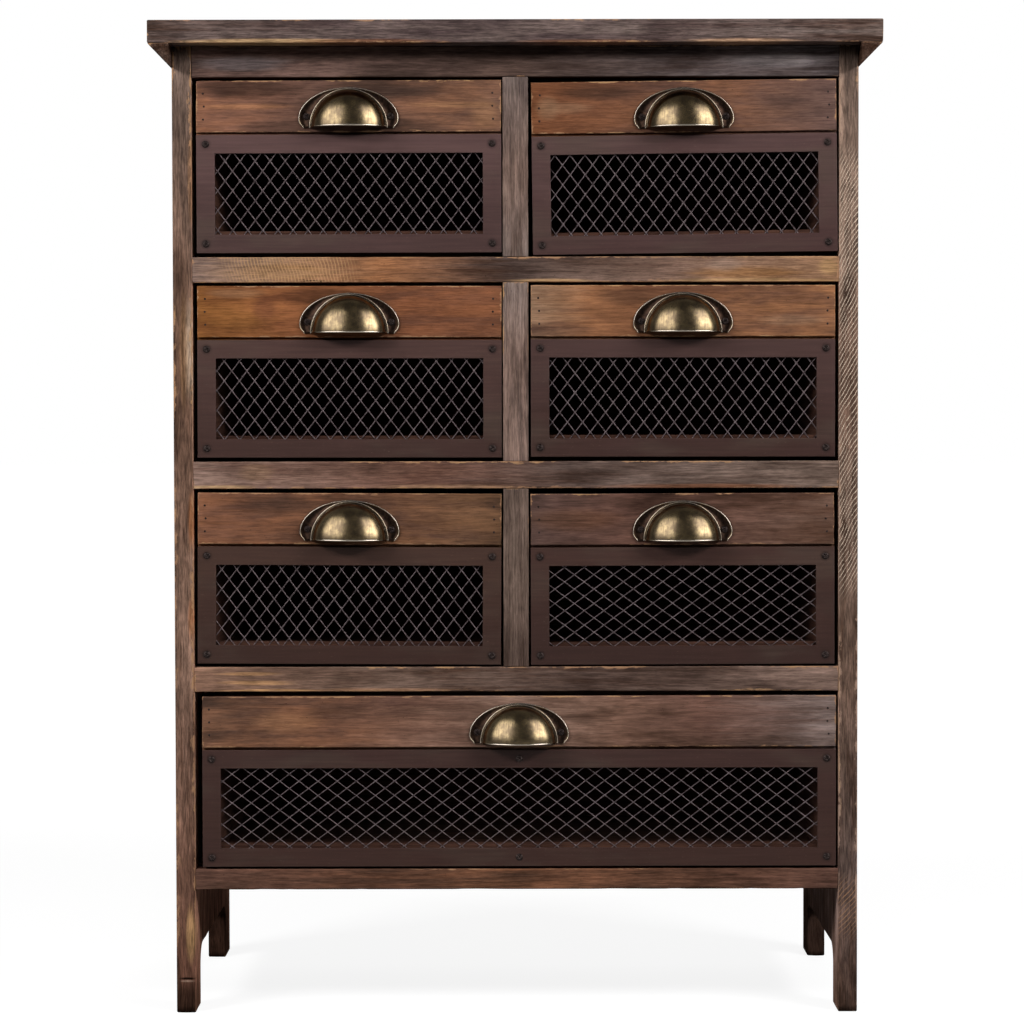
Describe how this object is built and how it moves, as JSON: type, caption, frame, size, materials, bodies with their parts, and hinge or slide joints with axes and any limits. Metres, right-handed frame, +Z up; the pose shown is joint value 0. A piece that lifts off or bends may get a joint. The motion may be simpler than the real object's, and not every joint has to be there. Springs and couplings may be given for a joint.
{
  "type": "chest of drawers",
  "caption": "Rustic free-standing wooden chest of drawers on cut-out side legs, with half-width and full-width mesh-front drawers and cup pulls.",
  "frame": {"origin": "on the floor, under the middle of the top panel's outline", "axes": "+X to the right as seen from the front, +Y to the back, +Z up; the drawers open towards -Y"},
  "size_m": [0.6, 0.3, 0.818],
  "materials": {
    "carcass_wood": "weathered dark stain, worn at the edges",
    "back_wood": "dark stain, thin",
    "inner_wood": "bare softwood",
    "drawer_wood": "reddish brown stain, worn at the edges",
    "drawer_inside_wood": "dark stain, matte",
    "frame_metal": "dark brown, satin",
    "mesh_metal": "grey brown, satin",
    "pull_metal": "antique bronze, brushed",
    "screw_metal": "dark brown coating",
    "nail_metal": "dull steel"
  },
  "bodies": {
    "carcass": {"top_panel": "carcass_wood", "left_cornice": "carcass_wood", "right_cornice": "carcass_wood", "left_side_panel": "carcass_wood", "right_side_panel": "carcass_wood", "top_rail": "carcass_wood", "upper_rail": "carcass_wood", "middle_rail": "carcass_wood", "lower_rail": "carcass_wood", "bottom_rail": "carcass_wood", "upper_mullion": "carcass_wood", "middle_mullion": "carcass_wood", "lower_mullion": "carcass_wood", "back_panel": "back_wood", "back_rails": "inner_wood", "side_runners": "inner_wood", "centre_runners": "inner_wood", "carcass_nails": "nail_metal"},
    "upper_left_drawer": {"upper_left_drawer_front_board": "drawer_wood", "upper_left_drawer_box": "drawer_inside_wood", "upper_left_drawer_grille_frame": "frame_metal", "upper_left_drawer_mesh": "mesh_metal", "upper_left_drawer_pull": "pull_metal", "upper_left_drawer_fasteners": "screw_metal"},
    "upper_right_drawer": {"upper_right_drawer_front_board": "drawer_wood", "upper_right_drawer_box": "drawer_inside_wood", "upper_right_drawer_grille_frame": "frame_metal", "upper_right_drawer_mesh": "mesh_metal", "upper_right_drawer_pull": "pull_metal", "upper_right_drawer_fasteners": "screw_metal"},
    "middle_left_drawer": {"middle_left_drawer_front_board": "drawer_wood", "middle_left_drawer_box": "drawer_inside_wood", "middle_left_drawer_grille_frame": "frame_metal", "middle_left_drawer_mesh": "mesh_metal", "middle_left_drawer_pull": "pull_metal", "middle_left_drawer_fasteners": "screw_metal"},
    "middle_right_drawer": {"middle_right_drawer_front_board": "drawer_wood", "middle_right_drawer_box": "drawer_inside_wood", "middle_right_drawer_grille_frame": "frame_metal", "middle_right_drawer_mesh": "mesh_metal", "middle_right_drawer_pull": "pull_metal", "middle_right_drawer_fasteners": "screw_metal"},
    "lower_left_drawer": {"lower_left_drawer_front_board": "drawer_wood", "lower_left_drawer_box": "drawer_inside_wood", "lower_left_drawer_grille_frame": "frame_metal", "lower_left_drawer_mesh": "mesh_metal", "lower_left_drawer_pull": "pull_metal", "lower_left_drawer_fasteners": "screw_metal"},
    "lower_right_drawer": {"lower_right_drawer_front_board": "drawer_wood", "lower_right_drawer_box": "drawer_inside_wood", "lower_right_drawer_grille_frame": "frame_metal", "lower_right_drawer_mesh": "mesh_metal", "lower_right_drawer_pull": "pull_metal", "lower_right_drawer_fasteners": "screw_metal"},
    "bottom_drawer": {"bottom_drawer_front_board": "drawer_wood", "bottom_drawer_box": "drawer_inside_wood", "bottom_drawer_grille_frame": "frame_metal", "bottom_drawer_mesh": "mesh_metal", "bottom_drawer_pull": "pull_metal", "bottom_drawer_fasteners": "screw_metal"}
  },
  "joints": [
    {"name": "upper_left_drawer_slide", "type": "slide", "parent": "carcass", "child": "upper_left_drawer", "axis": [0, -1, 0], "range_m": [0, 0.18]},
    {"name": "upper_right_drawer_slide", "type": "slide", "parent": "carcass", "child": "upper_right_drawer", "axis": [0, -1, 0], "range_m": [0, 0.18]},
    {"name": "middle_left_drawer_slide", "type": "slide", "parent": "carcass", "child": "middle_left_drawer", "axis": [0, -1, 0], "range_m": [0, 0.18]},
    {"name": "middle_right_drawer_slide", "type": "slide", "parent": "carcass", "child": "middle_right_drawer", "axis": [0, -1, 0], "range_m": [0, 0.18]},
    {"name": "lower_left_drawer_slide", "type": "slide", "parent": "carcass", "child": "lower_left_drawer", "axis": [0, -1, 0], "range_m": [0, 0.18]},
    {"name": "lower_right_drawer_slide", "type": "slide", "parent": "carcass", "child": "lower_right_drawer", "axis": [0, -1, 0], "range_m": [0, 0.18]},
    {"name": "bottom_drawer_slide", "type": "slide", "parent": "carcass", "child": "bottom_drawer", "axis": [0, -1, 0], "range_m": [0, 0.18]}
  ]
}
